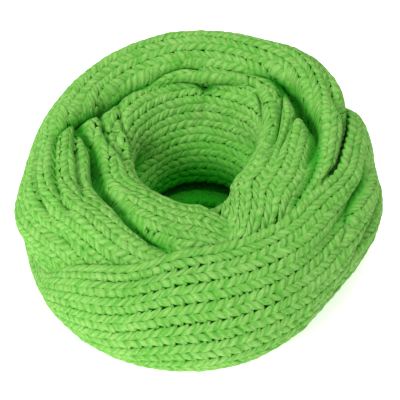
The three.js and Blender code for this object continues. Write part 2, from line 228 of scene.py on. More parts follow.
# Sharp lines where one roll laps over the next: angle, share across the strip, half width, depth, and
# how far the roll stands up beside the line, on the outer side of the ring if less than 0
OUTER_TURN_LINES = {
    "right_line": [
        [98, 0.87, 3.5, 0, 0],
        [88, 0.862, 3.5, 3, -0.8],
        [80, 0.866, 3.5, 4.5, -1],
        [74, 0.831, 3.5, 5, -1],
        [62, 0.777, 3, 4.5, -1],
        [48, 0.75, 3, 0, 0],
    ],
    "right_second_line": [
        [96, 0.76, 3, 0, 0],
        [84, 0.745, 3, 5, -1],
        [72, 0.71, 3, 5, -1],
        [56, 0.67, 3, 0, 0],
    ],
    "front_hem_line": [
        [-46, 0.93, 2.5, 0, 0],
        [-30, 0.935, 2.5, 2, 0],
        [-10, 0.93, 2.5, 2, 0],
        [20, 0.93, 2.5, 0, 0],
    ],
}
INNER_TURN_LINES = {
    "rim_line": [
        [-99, 0.34, 3, 0, 0],
        [-106, 0.364, 3.5, 5, -1],
        [-113, 0.41, 4, 13, -3],
        [-124, 0.462, 5, 17, -4],
        [-132, 0.485, 4.5, 16, -4],
        [-145, 0.502, 3.5, 10, -3],
        [-156, 0.512, 3.5, 9, -3],
        [-164, 0.497, 3.5, 9, -3],
        [-173, 0.49, 3.5, 8, -3],
        [-180, 0.514, 3, 5, -1],
        [-190, 0.512, 3, 2, 0],
        [-202, 0.485, 3, 3, 0],
        [-209.5, 0.455, 3.5, 8, -2],
        [-220.5, 0.43, 5, 13, -3],
        [-228, 0.412, 6.5, 17, -3],
        [-238, 0.382, 6.5, 17, -3],
        [-246, 0.344, 5, 12, -2],
        [-254, 0.323, 4, 7, -1],
        [-263, 0.325, 4, 5, -1],
        [-277, 0.339, 4, 4, 0],
        [-292, 0.34, 4, 0, 0],
    ],
    "band_line": [
        [-146, 0.53, 3, 0, 0],
        [-160, 0.545, 3, 5, -1.5],
        [-172, 0.558, 3, 7, -2],
        [-178, 0.57, 3.5, 9, -2],
        [-183, 0.584, 4.5, 14, -2],
        [-187, 0.572, 3.5, 9, -2],
        [-193, 0.558, 3, 7, -2],
        [-201, 0.543, 3, 7, -2],
        [-210, 0.519, 3, 5, -1],
        [-217, 0.497, 3, 0, 0],
    ],
    "left_gap": [
        [-116, 0.44, 3, 0, 0],
        [-111, 0.45, 3.5, 8, 0],
        [-104, 0.478, 3, 6, -1],
        [-98, 0.495, 4, 10, -2],
        [-91, 0.506, 5, 16, -2],
        [-82, 0.513, 4.5, 13, -1],
        [-75, 0.511, 3.5, 8, 1],
        [-66, 0.5, 3, 7, 2],
        [-55, 0.459, 3.5, 8, 2],
        [-42, 0.414, 3.5, 9, 2],
        [-34, 0.392, 3.5, 7, 2],
        [-21, 0.337, 3, 4, 1],
        [-10, 0.3, 3, 0, 0],
    ],
    "bundle_second_valley": [
        [-116, 0.42, 3, 0, 0],
        [-110, 0.43, 3, 9, 0],
        [-102, 0.429, 3, 8, 0],
        [-87, 0.445, 2.5, 8, 0],
        [-77, 0.436, 2.5, 7, 0],
        [-62, 0.38, 2.5, 0, 0],
    ],
    "bundle_first_valley": [
        [-108, 0.37, 3, 0, 0],
        [-102, 0.352, 2.5, 9, 0],
        [-92, 0.352, 2.5, 10, 0],
        [-79, 0.35, 2.5, 10, 0],
        [-68, 0.321, 2.5, 7, 0],
        [-60, 0.292, 2.5, 4, 0],
        [-50, 0.25, 2.5, 0, 0],
    ],
    "bundle_outer_valley": [
        [-106, 0.28, 3, 0, 0],
        [-94, 0.27, 2.5, 7, 0],
        [-76, 0.26, 2.5, 7, 0],
        [-62, 0.22, 3, 3, 0],
        [-52, 0.19, 3, 0, 0],
    ],
    "left_band_line": [
        [-131, 0.46, 3, 0, 0],
        [-126, 0.475, 3.5, 8, 0],
        [-120, 0.52, 3.5, 10, 1],
        [-113, 0.552, 3.5, 10, 1],
        [-106, 0.589, 3, 7, 1],
        [-100, 0.645, 3, 4, 0],
        [-94, 0.68, 3, 0, 0],
    ],
    "left_roll_line": [
        [-141, 0.5, 3, 0, 0],
        [-136, 0.52, 3, 5, 0],
        [-131, 0.56, 3, 6, -1],
        [-124, 0.608, 3.5, 8, -2],
        [-119, 0.65, 4, 10, -2],
        [-110, 0.684, 4, 8, -2],
        [-100, 0.7, 4, 5, -1],
        [-88, 0.7, 4, 0, 0],
    ],
    "right_column_line": [
        [-205, 0.53, 4, 0, 0],
        [-212, 0.56, 4, 6, -2],
        [-219, 0.592, 4.5, 12, -3.5],
        [-228, 0.632, 4.5, 14, -4],
        [-237, 0.655, 4.5, 12, -4],
        [-248, 0.64, 4, 5, -2],
        [-262, 0.6, 4, 0, 0],
    ],
    "right_wedge_inner_line": [
        [-213, 0.46, 3, 0, 0],
        [-219, 0.47, 3.5, 9, 1],
        [-224, 0.498, 3.5, 9, 2],
        [-234, 0.535, 3.5, 8, 2],
        [-249, 0.524, 3, 4, 1],
        [-268, 0.49, 3, 3, 0],
        [-290, 0.45, 3, 0, 0],
    ],
    "right_wedge_outer_line": [
        [-229, 0.415, 4, 0, 0],
        [-234, 0.43, 4, 8, -1],
        [-241, 0.457, 4, 9, -2],
        [-252, 0.468, 4, 7, -2],
        [-262, 0.465, 3, 3, -1],
        [-274, 0.46, 3, 0, 0],
    ],
    "outer_gap": [
        [-228, 0.27, 3.5, 0, 0],
        [-237, 0.252, 4, 7, -1],
        [-243, 0.222, 5, 13, -1],
        [-248, 0.17, 6, 17, 0],
        [-256, 0.14, 6.5, 18, 0],
        [-266, 0.15, 6, 13, 0],
        [-274, 0.2, 4, 6, 0],
        [-287, 0.23, 3, 3, 0],
        [-298, 0.23, 3, 0, 0],
    ],
    "back_first_valley": [
        [-140, 0.3, 3, 0, 0],
        [-165, 0.285, 2.5, 3, 0],
        [-190, 0.3, 2.5, 2, 0],
        [-215, 0.285, 3, 4, 0],
        [-236, 0.25, 3, 0, 0],
    ],
}
# A fold that runs across the strip, in the far wall of the hollow: share, angle, half width, depth
INNER_TURN_CROSS_LINES = {
    "hollow_fold": [
        [0.56, -184, 3.5, 0],
        [0.62, -184, 3.5, 4],
        [0.7, -183, 4, 3],
        [0.82, -183, 4, 0],
    ],
}
# Where the hollow widens below its rim, as broad troughs: angle, share, half width, depth
HOLLOW_UNDERCUT = {
    "left_undercut": [
        [-148, 0.79, 20, 0],
        [-130, 0.79, 22, 9],
        [-105, 0.81, 24, 13],
        [-60, 0.83, 24, 13],
        [-25, 0.84, 24, 11],
        [-8, 0.85, 22, 5],
        [10, 0.86, 20, 0],
    ],
    "right_undercut": [
        [-205, 0.76, 16, 0],
        [-222, 0.77, 20, 8],
        [-242, 0.79, 22, 13],
        [-262, 0.8, 22, 13],
        [-290, 0.8, 22, 10],
        [-312, 0.85, 18, 5],
        [-325, 0.88, 16, 0],
    ],
}

# The stretches that show, with the angles where each starts and ends
OUTER_ENDS = (-180, 180)
OUTER_STRETCHES = {
    "outer_turn_left": (-130, -50),
    "outer_turn_front": (-50, 40),
    "outer_turn_right": (40, 132),
    "outer_turn_back": (132, 230),
}
INNER_ENDS = (-360, 38)
INNER_STRETCHES = {
    "inner_turn_front": (-40, 38),
    "inner_turn_left": (-120, -40),
    "inner_turn_back": (-214, -120),
    "inner_turn_right": (-300, -214),
    "inner_turn_tuck": (-360, -300),
}

# One leg of a stitch with its half of the bar across the valley: how far along the rib, how far across
# as a share of the half rib, height, half width and half thickness
LEG = [
    [-5.4, 0.05, -1.2, 1.6, 1.4],
    [-1.9, 0.2, -0.2, 2.7, 1.8],
    [2.0, 0.39, 0.2, 3.5, 2.0],
    [5.8, 0.56, 0.2, 3.5, 2.0],
    [8.5, 0.72, 0.0, 2.8, 1.9],
    [9.4, 0.88, -0.3, 2.0, 1.8],
    [9.5, 1.08, -0.6, 1.8, 1.7],
]
# A strand of the smooth chain along a hem, with the same columns
HEM_STRAND = [
    [-6.0, 0.32, -1.0, 2.2, 1.6],
    [-1.0, 0.46, 0.0, 3.3, 2.1],
    [3.5, 0.62, 0.3, 3.8, 2.2],
    [7.5, 0.8, 0.0, 3.7, 2.2],
    [10.5, 0.96, -0.8, 3.3, 2.1],
    [12.5, 1.1, -2.2, 2.4, 1.8],
]
CURVE_STEPS = 24
STRAND_STEPS = 8
STRAND_SIDES = 8
# The power that shapes a strand's section: 1 is round, and less squares it off
STRAND_SQUARENESS = 0.6
# How much strands vary in place along the rib and in height, and in width and thickness as a share
ALONG_VARIES = 0.35
HEIGHT_VARIES = 0.22
SIZE_VARIES = 0.05
RANDOM_SEED = 11

# Depths between which painted shade deepens a strand's colour: under the cloth's face, in a trough, with
# that one's share, and in a crease
SUNK_DEPTHS = (-2.4, 3.0)
TROUGH_DEPTHS = (3.0, 16.0)
TROUGH_SHARE = 0.6
CREASE_DEPTHS = (4.5, 12.0)

# The strands' texture: the length of one unit along a strand, the range of its random start, and the
# half rib that a strand's length is worked out with
TEXTURE_UNIT = 10
TEXTURE_STARTS = 40
TEXTURE_HALF_RIB = 9

# How a stitch is looked for: how far out from the face, how far beside its rib's middle as a share of
# the rib, and along how many directions, the lowest a little under the horizon
SIGHT_CLEARANCE = 4.0
SIGHT_OFFSETS = (0.0, -0.35, 0.35)
LOOK_COUNT = 60
LOWEST_LOOK = -0.12

# Degrees between the points that a rib's length is measured at
RIB_STEP = 0.5

# Painted shade: green for strands sunk between others, on the hollow's wall, in creases and at its bottom
SUNK_SHADE_GREEN = (0.02, 0.56, 0.01, 1)
WALL_SHADE_GREEN = (0.07, 0.55, 0.03, 1)
DARK_SHADE_GREEN = (0.002, 0.34, 0.001, 1)
# The yarn's tones, and the backing's, darker as painted shade between strands: place on the ramp, colour
YARN_TONES = [(0.58, (0.13, 0.42, 0.055, 1)), (0.88, (0.31, 0.575, 0.16, 1))]
SHADED_BACKING_TONES = [(0.3, (0.012, 0.38, 0.01, 1)), (0.75, (0.03, 0.54, 0.018, 1))]
# How strongly painted shade greens strands sunk between others, and darkens strands in creases
SUNK_SHADING = 0.8
CREASE_SHADING = 0.65
# The ply's twist and the fibres' stretch, each along the strand and round it
PLY_TWIST = (0.9, 3.0)
FIBRE_STRETCH = (3.0, 14.0)
# What each pattern adds to the yarn's tone and relief; the ply's dark lines in the tone are painted shade
TONE_WEIGHTS = {"ply": 0.2, "fibres": 0.45, "fuzz": 0.3, "tone": 0.45}
RELIEF_WEIGHTS = {"ply": 0.5, "fuzz": 0.8, "fibres": 0.9}
# The hollow, in metres: it starts inside these radii, and its wall and its bottom each get their painted
# shade between two heights, with a strength
HOLLOW_RADII = (0.092, 0.078)
WALL_SHADE_HEIGHTS = (0.09, 0.03)
WALL_SHADE = 0.4
BOTTOM_SHADE_HEIGHTS = (0.05, 0.024)
BOTTOM_SHADE = 0.9

# The studio, in metres and watts. Lights: name, place, power, size
LIGHTS = [
    ["key", (-1.0, -1.45, 1.15), 20, 0.55],
    ["fill", (0.2, 0.3, 1.5), 8, 1.0],
]
MIDDLE_HEIGHT = 0.06
FLOOR_REACH = 4
FLOOR_DROP = 0.0003
FLOOR_GLOW = 0.5
# How bright the sky is on the left and on the right
SKY_STRENGTHS = (0.62, 0.26)
# The camera: degrees above the horizon, distance, sensor in millimetres, then its focal length and half
# the picture's width, both in the photo's pixels
CAMERA_ELEVATION = 48
CAMERA_DISTANCE = 1.3
CAMERA_SENSOR = 36
FOCAL_PIXELS = 1420.8
HALF_PICTURE_PIXELS = 200


def smooth_table(rows, closed=False):
    """A function that reads the table's columns at any angles, on smooth curves between its rows."""
    rows = sorted(rows, key=lambda row: row[0])
    angles = np.array([row[0] for row in rows], float)
    values = np.array([np.ravel(row[1:]) for row in rows], float)
    secants = np.diff(values, axis=0) / np.diff(angles)[:, None]
    first, last = (secants[-1:], secants[:1]) if closed else (secants[:1], secants[-1:])
    slopes = (np.vstack([first, secants]) + np.vstack([secants, last])) / 2

    def read(at):
        at = np.clip(np.asarray(at, float), angles[0], angles[-1])
        k = np.clip(np.searchsorted(angles, at, side="right") - 1, 0, len(angles) - 2)
        width = (angles[k + 1] - angles[k])[:, None]
        p = (at - angles[k])[:, None] / width
        start = (2 * p**3 - 3 * p**2 + 1) * values[k] + (p**3 - 2 * p**2 + p) * width * slopes[k]
        end = (3 * p**2 - 2 * p**3) * values[k + 1] + (p**3 - p**2) * width * slopes[k + 1]
        return start + end

    return read


def section_curves(points):
    """Smooth curves through rows of section points, (rows, points, 2), as (rows, samples, 2)."""
    first = 2 * points[:, :1] - points[:, 1:2]
    last = 2 * points[:, -1:] - points[:, -2:-1]
    padded = np.concatenate([first, points, last], axis=1)
    gaps = np.sqrt(np.linalg.norm(np.diff(padded, axis=1), axis=2))[:, :, None]
    p = np.linspace(0, 1, CURVE_STEPS, endpoint=False)[None, :, None]
    pieces = []
    for k in range(1, padded.shape[1] - 2):
        a, b, c, d = (padded[:, k + i - 1] for i in range(4))
        before, here, after = (gaps[:, k + i - 1] for i in range(3))
        out = ((b - a) / before - (c - a) / (before + here) + (c - b) / here) * here
        into = ((c - b) / here - (d - b) / (here + after) + (d - c) / after) * here
        a, b, c, d = b[:, None], c[:, None], out[:, None], into[:, None]
        pieces.append(
            (2 * p**3 - 3 * p**2 + 1) * a
            + (3 * p**2 - 2 * p**3) * b
            + (p**3 - 2 * p**2 + p) * c
            + (p**3 - p**2) * d
        )
    pieces.append(points[:, -1:])
    return np.concatenate(pieces, axis=1)


def smoothstep(value, low, high):
    """A soft rise from 0 at one limit to 1 at the other."""
    t = np.clip((value - low) / (high - low), 0, 1)
    return t * t * (3 - 2 * t)


# The columns of a turn's grid: place, direction out of the cloth, depths of the troughs in the face and
# in the hidden face, and how far the face is shifted along the section
COLUMNS = 7
RADIUS, HEIGHT, NORMAL_RADIUS, NORMAL_HEIGHT, TROUGH, INNER_TROUGH, SHIFT = range(COLUMNS)


class Turn:
    """One turn of the strip, as a fine grid over angle and share across the strip, read in between."""

    STEP = 1.0
    SHARES = WALES * 20 + 1
    # Reading stops just short of the last row and column, so that there is always a next one
    LAST_CELL = 1.001

    def __init__(self, rows, folds, lines, cross_lines, closed, first, last, width=0.0):
        self.closed = closed
        self.first = first
        angles = np.arange(first, last + self.STEP / 2, self.STEP)
        sections = smooth_table(rows, closed)(angles).reshape(len(angles), -1, 2)
        curves = section_curves(sections)
        shares = np.linspace(0, 1, self.SHARES)
        grid = np.zeros((len(angles), self.SHARES, COLUMNS))
        lengths = np.zeros(len(angles))
        lips = np.zeros(len(angles))
        for i, curve in enumerate(curves):
            run = np.concatenate([[0], np.cumsum(np.linalg.norm(np.diff(curve, axis=0), axis=1))])
            lengths[i] = run[-1]
            lips[i] = run[LIP_POINT * CURVE_STEPS] / run[-1]
            for axis in (RADIUS, HEIGHT):
                grid[i, :, axis] = np.interp(shares * run[-1], run, curve[:, axis])
        tangent = np.gradient(grid[:, :, :2], axis=1)
        tangent /= np.linalg.norm(tangent, axis=2, keepdims=True)
        grid[:, :, NORMAL_RADIUS] = tangent[:, :, HEIGHT]
        grid[:, :, NORMAL_HEIGHT] = -tangent[:, :, RADIUS]
        for margin, sharpness, column in ((0, CREASE_SHARPNESS, TROUGH), (WALL / 2, 1.0, INNER_TROUGH)):
            for fold in folds.values():
                centre, half_width, depth = smooth_table(fold)(angles).T[:, :, None]
                distance = (shares[None, :] - centre) * lengths[:, None] / (half_width * sharpness + margin)
                grid[:, :, column] += np.maximum(depth, 0) * np.exp(-(distance**2))
            for line in lines.values():
                centre, half_width, depth, roll = smooth_table(line)(angles).T[:, :, None]
                away = (shares[None, :] - centre) * lengths[:, None]
                inside = np.exp(-((away / (half_width + margin)) ** 2))
                toward = away * np.sign(roll)
                off_crest = toward - ROLL_PLACE * half_width - ROLL_MARGIN
                beside = np.exp(-((off_crest / (ROLL_WIDTH * half_width)) ** 2))
                grid[:, :, column] += np.maximum(depth, 0) * inside - np.abs(roll) * beside
                if column == TROUGH:
                    over = np.exp(-(((toward - half_width) / half_width) ** 2))
                    grid[:, :, SHIFT] -= LEAN * roll * over
            for line in cross_lines.values():
                centre, half_width, depth = smooth_table(line)(shares).T[:, None, :]
                away = np.radians(angles[:, None] - centre) * grid[:, :, RADIUS]
                grid[:, :, column] += np.maximum(depth, 0) * np.exp(-((away / (half_width + margin)) ** 2))
        self.grid = grid
        self.lengths = lengths
        self.widths = np.maximum(lengths, width)
        self.lips = lips

    def row(self, angle):
        """The grid's row, with a fraction, at an angle."""
        angle = np.asarray(angle, float)
        if self.closed:
            angle = np.mod(angle + 180, 360) - 180
        return np.clip((angle - self.first) / self.STEP, 0, len(self.lengths) - self.LAST_CELL)

    def at_angle(self, values, angle):
        """One of the turn's measures, kept a value for each row, at an angle."""
        row = self.row(angle)
        low = row.astype(int)
        return values[low] * (1 - row + low) + values[low + 1] * (row - low)

    def length(self, angle):
        return self.at_angle(self.lengths, angle)

    def wale_share(self, angle, wale):
        """Where the middle of a wale lies, as a share across what shows of the strip."""
        angle = np.asarray(angle, float)
        nominal = (wale + 0.5) / WALES + 0 * angle
        right, left = RIM_SHARES
        rim = right + (left - right) * smoothstep(angle, *RIM_ANGLES)
        ratio = self.at_angle(self.widths / self.lengths, angle)
        tucked = self.at_angle(self.lips, angle) + (nominal - rim) * ratio
        missing = self.at_angle(self.widths - self.lengths, angle)
        return nominal + smoothstep(missing, 0, NARROWING) * (tucked - nominal)

    def read(self, angle, share):
        """The grid's columns at arrays of angles and shares."""
        row = self.row(angle)
        column = np.clip(share, 0, 1) * (self.SHARES - self.LAST_CELL)
        i, j = row.astype(int), column.astype(int)
        u, v = (row - i)[..., None], (column - j)[..., None]
        near = self.grid[i, j] * (1 - v) + self.grid[i, j + 1] * v
        far = self.grid[i + 1, j] * (1 - v) + self.grid[i + 1, j + 1] * v
        return near * (1 - u) + far * u

    def section(self, angle, share, out, inner=False):
        """Radius and height at a distance out from the strip's face, or from its hidden face."""
        values = self.read(angle, share)
        normal_radius, normal_height = values[..., NORMAL_RADIUS], values[..., NORMAL_HEIGHT]
        out = out - values[..., INNER_TROUGH if inner else TROUGH]
        past = (share - np.clip(share, 0, 1)) * self.length(angle) + values[..., SHIFT] * (not inner)
        radius = values[..., RADIUS] + out * normal_radius - past * normal_height
        height = np.maximum(values[..., HEIGHT], 0) + out * normal_height + past * normal_radius
        return radius, height

    def points(self, angle, share, out, inner=False):
        """The same as points in the scene, in metres."""
        radius, height = self.section(angle, share, out, inner)
        return place(angle, radius, height)


def place(angle, radius, height, along=0.0):
    """Points in the scene, in metres, from places round the ring; along moves them in its direction."""
    turned = np.radians(angle)
    x = RING_CENTRE[0] + radius * np.sin(turned) + along * np.cos(turned)
    y = RING_CENTRE[1] - radius * np.cos(turned) + along * np.sin(turned)
    return np.stack([x, y, height + 0 * x], axis=-1) * MM


def wall_outline(turn, angle, grow, points):
    """One cross section of the wall: the outer face, a hem point, the inner face, a hem point."""
    shares = np.linspace(0, 1, points)
    angles = np.full(points, float(angle))
    height = turn.read(angles, shares)[:, HEIGHT]
    relief = SHELL_SUNK + VALLEY_SUNK * np.cos(math.pi * WALES * shares) ** 2
    relief = relief * smoothstep(height, SOLE_FLAT, SOLE_RIBBED)
    outer = np.stack(turn.section(angles, shares, grow - relief * (grow == 0)), axis=1)
    inner = np.stack(turn.section(angles, shares, -WALL - grow, inner=True), axis=1)
    ends = []
    for share, past in ((1.0, HEM_BULGE + grow), (0.0, -HEM_BULGE - grow)):
        shares = np.array([share]) + past / turn.length(angle)
        ends.append(np.stack(turn.section(np.array([angle]), shares, np.array([-WALL / 2])), axis=1))
    return np.concatenate([outer, ends[0], inner[::-1], ends[1]])


def wall_mesh(turn, start, end, step, points, grow=0.0, gap=SEAM_GAP):
    """The wall between two angles as a closed mesh: vertices in metres, and faces."""
    sections = max(2, round((end - start) / step)) + 1
    rows = []
    for i, angle in enumerate(np.linspace(start, end, sections)):
        inset = gap / 2 * ((i == 0) - (i == sections - 1))
        outline = wall_outline(turn, angle, grow, points)
        rows.append(place(angle, outline[:, 0], outline[:, 1], inset))
    count = len(rows[0])
    here = np.arange(count)
    there = (here + 1) % count
    faces = []
    for i in range(sections - 1):
        base = i * count
        above = base + count
        faces.extend(np.stack([base + here, above + here, above + there, base + there], 1).tolist())
    k = np.arange(points - 1)
    cap = np.stack([k, k + 1, 2 * points - k - 1, 2 * points - k], 1).tolist()
    cap.append([points - 1, points, points + 1])
    cap.append([0, 2 * points, count - 1])
    last = (sections - 1) * count
    faces.extend(cap)
    faces.extend([last + k for k in reversed(face)] for face in cap)
    return np.concatenate(rows), faces


def new_object(name, vertices, faces, material):
    """A smooth-shaded mesh object with one material, in the scene."""
    mesh = bpy.data.meshes.new(name)
    mesh.from_pydata(vertices.tolist(), [], faces)
    mesh.polygons.foreach_set("use_smooth", [True] * len(faces))
    mesh.materials.append(material)
    mesh.update()
    made = bpy.data.objects.new(name, mesh)
    bpy.context.scene.collection.objects.link(made)
    return made


def cut_away(shell, cutters):
    """Cuts the shell back where another layer of cloth takes the room, and keeps its largest part."""
    for cutter in cutters:
        modifier = shell.modifiers.new("cut", "BOOLEAN")
        modifier.operation = "DIFFERENCE"
        modifier.solver = "MANIFOLD"
        modifier.object = cutter
    graph = bpy.context.evaluated_depsgraph_get()
    cut = bpy.data.meshes.new_from_object(shell.evaluated_get(graph))
    shell.modifiers.clear()
    old = shell.data
    shell.data = cut
    bpy.data.meshes.remove(old)
    keep_largest(cut)


def keep_largest(mesh):
    """Deletes all of a mesh but the part with the most vertices."""
    work = bmesh.new()
    work.from_mesh(mesh)
    left = set(work.verts)
    parts = []
    while left:
        stack = [left.pop()]
        parts.append([])
        while stack:
            vertex = stack.pop()
            parts[-1].append(vertex)
            near = {edge.other_vert(vertex) for edge in vertex.link_edges} & left
            left -= near
            stack.extend(near)
    parts.sort(key=len)
    bmesh.ops.delete(work, geom=[vertex for part in parts[:-1] for vertex in part], context="VERTS")
    work.to_mesh(mesh)
    work.free()


def strand_points(table, count):
    """The strand's middle line, half width and half thickness at even steps, from its table."""
    run = np.linspace(0, 1, len(table))
    read = smooth_table([[t, *row] for t, row in zip(run, table)])
    return read(np.linspace(0, 1, count))


def add_strands(turn, table, angles, wale, side, rng, inner=False):
    """Vertices, faces, and each strand's coordinates along and round it, for half a wale.

    Two more columns say how deep a point is sunk between strands and in a crease, for painted shade.
    """
    line = strand_points(table, STRAND_STEPS + 1)
    count, steps = len(angles), len(line)
    centre = turn.wale_share(angles, wale)
    half_degree = 0.5
    before = turn.points(angles - half_degree, centre, np.zeros(count))
    after = turn.points(angles + half_degree, centre, np.zeros(count))
    per_degree = np.linalg.norm(after - before, axis=1) / MM
    half_rib = turn.at_angle(turn.widths, angles) / WALES / 2

    vary = rng.normal(0, 1, (4, count, 1))
    along = line[None, :, 0] + ALONG_VARIES * vary[0]
    across = line[None, :, 1] * half_rib[:, None]
    height = line[None, :, 2] + HEIGHT_VARIES * vary[1]
    width = line[None, :, 3] * (1 + SIZE_VARIES * vary[2])
    thick = line[None, :, 4] * (1 + SIZE_VARIES * vary[3])

    slope_along = np.gradient(along, axis=1)
    slope_across = np.gradient(across, axis=1)
    size = np.hypot(slope_along, slope_across)
    around = np.arange(STRAND_SIDES) * 2 * math.pi / STRAND_SIDES
    swing, lift = np.cos(around), np.sin(around)
    swing = (np.sign(swing) * np.abs(swing) ** STRAND_SQUARENESS)[None, None, :]
    lift = (np.sign(lift) * np.abs(lift) ** STRAND_SQUARENESS)[None, None, :]
    along = along[:, :, None] - (slope_across / size)[:, :, None] * width[:, :, None] * swing
    across = across[:, :, None] + (slope_along / size)[:, :, None] * width[:, :, None] * swing
    height = height[:, :, None] + thick[:, :, None] * lift

    at = angles[:, None, None] + along / per_degree[:, None, None]
    across_share = turn.wale_share(at, wale) + side * across / turn.length(at)
    out = -WALL - height if inner else height
    vertices = turn.points(at, across_share, out, inner).reshape(-1, 3)
    trough = turn.read(at, across_share)[..., TROUGH]
    # Depths that set the painted shade in the yarn's colour
    sunk = smoothstep(-height, *SUNK_DEPTHS) + TROUGH_SHARE * smoothstep(trough, *TROUGH_DEPTHS)
    deep = smoothstep(trough, *CREASE_DEPTHS)
    vertices[:, 2] = np.maximum(vertices[:, 2], FLOOR_CLEARANCE * MM)

    forward = (side > 0) != inner
    ring = np.arange(STRAND_SIDES)
    after_ring = (ring + 1) % STRAND_SIDES
    quads = []
    for k in range(steps - 1):
        low = k * STRAND_SIDES
        high = low + STRAND_SIDES
        quad = np.stack([low + ring, low + after_ring, high + after_ring, high + ring], 1)
        quads.append(quad if forward else quad[:, ::-1])
    quads = np.concatenate(quads)
    first = ring[::-1]
    last = ring + (steps - 1) * STRAND_SIDES
    caps = [first, last] if forward else [first[::-1], last[::-1]]
    offsets = np.arange(count) * steps * STRAND_SIDES
    faces = (quads[None] + offsets[:, None, None]).reshape(-1, 4).tolist()
    for cap in caps:
        faces.extend((cap[None] + offsets[:, None]).tolist())
    steps_along = np.hypot(np.diff(line[:, 0]), np.diff(line[:, 1] * TEXTURE_HALF_RIB))
    run = np.concatenate([[0], np.cumsum(steps_along)])
    start = rng.uniform(0, TEXTURE_STARTS, (count, 1, 1))
    u = (run[None, :, None] + start + 0 * swing) / TEXTURE_UNIT
    v = np.broadcast_to(ring / STRAND_SIDES, (count, steps, STRAND_SIDES))
    return vertices, faces, np.stack([u, v, sunk, deep], axis=-1).reshape(-1, 4)


def wale_angles(turn, wale, first, last):
    """Where the stitches of one wale start, evenly along it."""
    angles = np.arange(first, last + RIB_STEP / 2, RIB_STEP)
    shares = turn.wale_share(angles, wale)[:-1]
    before = turn.points(angles[:-1], shares, np.zeros(len(shares)))
    after = turn.points(angles[1:], shares, np.zeros(len(shares)))
    run = np.concatenate([[0], np.cumsum(np.linalg.norm(after - before, axis=1))]) / MM
    count = max(1, round(run[-1] / ROW_PITCH))
    return np.interp(np.arange(count) * run[-1] / count, run, angles)


def showing(turn, angles, wale, tree, inner=False):
    """Which stitches are seen from somewhere above the floor, and stand clear of the sole."""
    shares = turn.wale_share(angles, wale)
    face, clear = (-WALL, -WALL - SIGHT_CLEARANCE) if inner else (0.0, SIGHT_CLEARANCE)
    base = turn.points(angles, shares, np.full(len(angles), face), inner)
    seen = np.zeros(len(angles), bool)
    for beside in SIGHT_OFFSETS:
        above = turn.points(angles, shares + beside / WALES, np.full(len(angles), clear), inner)
        for k, high in enumerate(above):
            if not seen[k]:
                seen[k] = any(tree.ray_cast(Vector(high), way)[0] is None for way in LOOKS)
    return seen & (base[:, 2] > STRAND_FLOOR * MM) & (shares > 0) & (shares < 1)


def look_directions(count):
    """Even directions over the upper half of a sphere, down to a little below the horizon."""
    ways = []
    for k in range(count):
        z = LOWEST_LOOK + (1 - LOWEST_LOOK) * (k + 0.5) / count
        turned = k * math.pi * (3 - math.sqrt(5))
        flat = math.sqrt(1 - z * z)
        ways.append(Vector((flat * math.cos(turned), flat * math.sin(turned), z)))
    return ways


LOOKS = look_directions(LOOK_COUNT)


def dress(turn, stretches, first, last, tree, material, rng):
    """One piece of strands for each stretch of the turn."""
    made = {name: [] for name in stretches}
    rows = [(wale, False) for wale in range(WALES)]
    rows += [(wale, True) for wale in range(FOOT_WALES) if turn.closed]
    for wale, inner in rows:
        angles = wale_angles(turn, wale, first, last)
        angles = angles[showing(turn, angles, wale, tree, inner)]
        for name, (start, end) in stretches.items():
            shifted = angles + 360 * ((angles < start) & turn.closed)
            own = shifted[(shifted >= start) & (shifted < end)]
            if not len(own):
                continue
            for side in (-1, 1):
                at_hem = (wale == 0 and side < 0) or (wale == WALES - 1 and side > 0 and turn.closed)
                table = HEM_STRAND if at_hem else LEG
                made[name].append(add_strands(turn, table, own, wale, side, rng, inner))
    pieces = {}
    for name, parts in made.items():
        vertices, faces, coordinates = [], [], []
        offset = 0
        for points, own_faces, own_coordinates in parts:
            vertices.append(points)
            coordinates.append(own_coordinates)
            faces.extend([[k + offset for k in face] for face in own_faces])
            offset += len(points)
        piece = new_object(name + "_stitches", np.concatenate(vertices), faces, material)
        coordinates = np.concatenate(coordinates).astype(np.float32)
        corners = np.zeros(len(piece.data.loops), np.int32)
        piece.data.loops.foreach_get("vertex_index", corners)
        for layer, columns in (("strand", (0, 1)), ("sunk", (2, 3))):
            made_layer = piece.data.uv_layers.new(name=layer)
            made_layer.data.foreach_set("uv", coordinates[corners][:, columns].ravel())
        pieces[name] = piece
    return pieces


def node(tree, kind, inputs=None, **settings):
    """A shader node with its settings; an input is another node's socket or a plain value."""
    made = tree.nodes.new(kind)
    for name, value in settings.items():
        setattr(made, name, value)
    for name, value in (inputs or {}).items():
        if isinstance(value, bpy.types.NodeSocket):
            tree.links.new(value, made.inputs[name])
        else:
            made.inputs[name].default_value = value
    return made


def math_node(tree, operation, a, b=0.0):
    return node(tree, "ShaderNodeMath", {0: a, 1: b}, operation=operation).outputs[0]


def weighted_sum(tree, sockets, weights):
    """The sum of the named sockets, each multiplied by its weight."""
    total = None
    for name, weight in weights.items():
        part = math_node(tree, "MULTIPLY", sockets[name], weight)
        total = part if total is None else math_node(tree, "ADD", total, part)
    return total


def map_range(tree, value, start, end, results=(0.0, 1.0), interpolation="LINEAR"):
    """The value, mapped from between start and end to between the two results."""
    inputs = {"Value": value, "From Min": start, "From Max": end, "To Min": results[0], "To Max": results[1]}
    return node(tree, "ShaderNodeMapRange", inputs, interpolation_type=interpolation).outputs["Result"]


def colour_ramp(tree, value, tones):
    """A ramp between two tones, each a place on the ramp and a colour."""
    ramp = node(tree, "ShaderNodeValToRGB", {"Fac": value})
    for k, (position, colour) in enumerate(tones):
        ramp.color_ramp.elements[k].position = position
        ramp.color_ramp.elements[k].color = colour
    return ramp.outputs["Color"]


def noise(tree, where, scale, detail, roughness):
    inputs = {"Vector": where, "Scale": scale, "Detail": detail, "Roughness": roughness}
    return node(tree, "ShaderNodeTexNoise", inputs).outputs["Fac"]


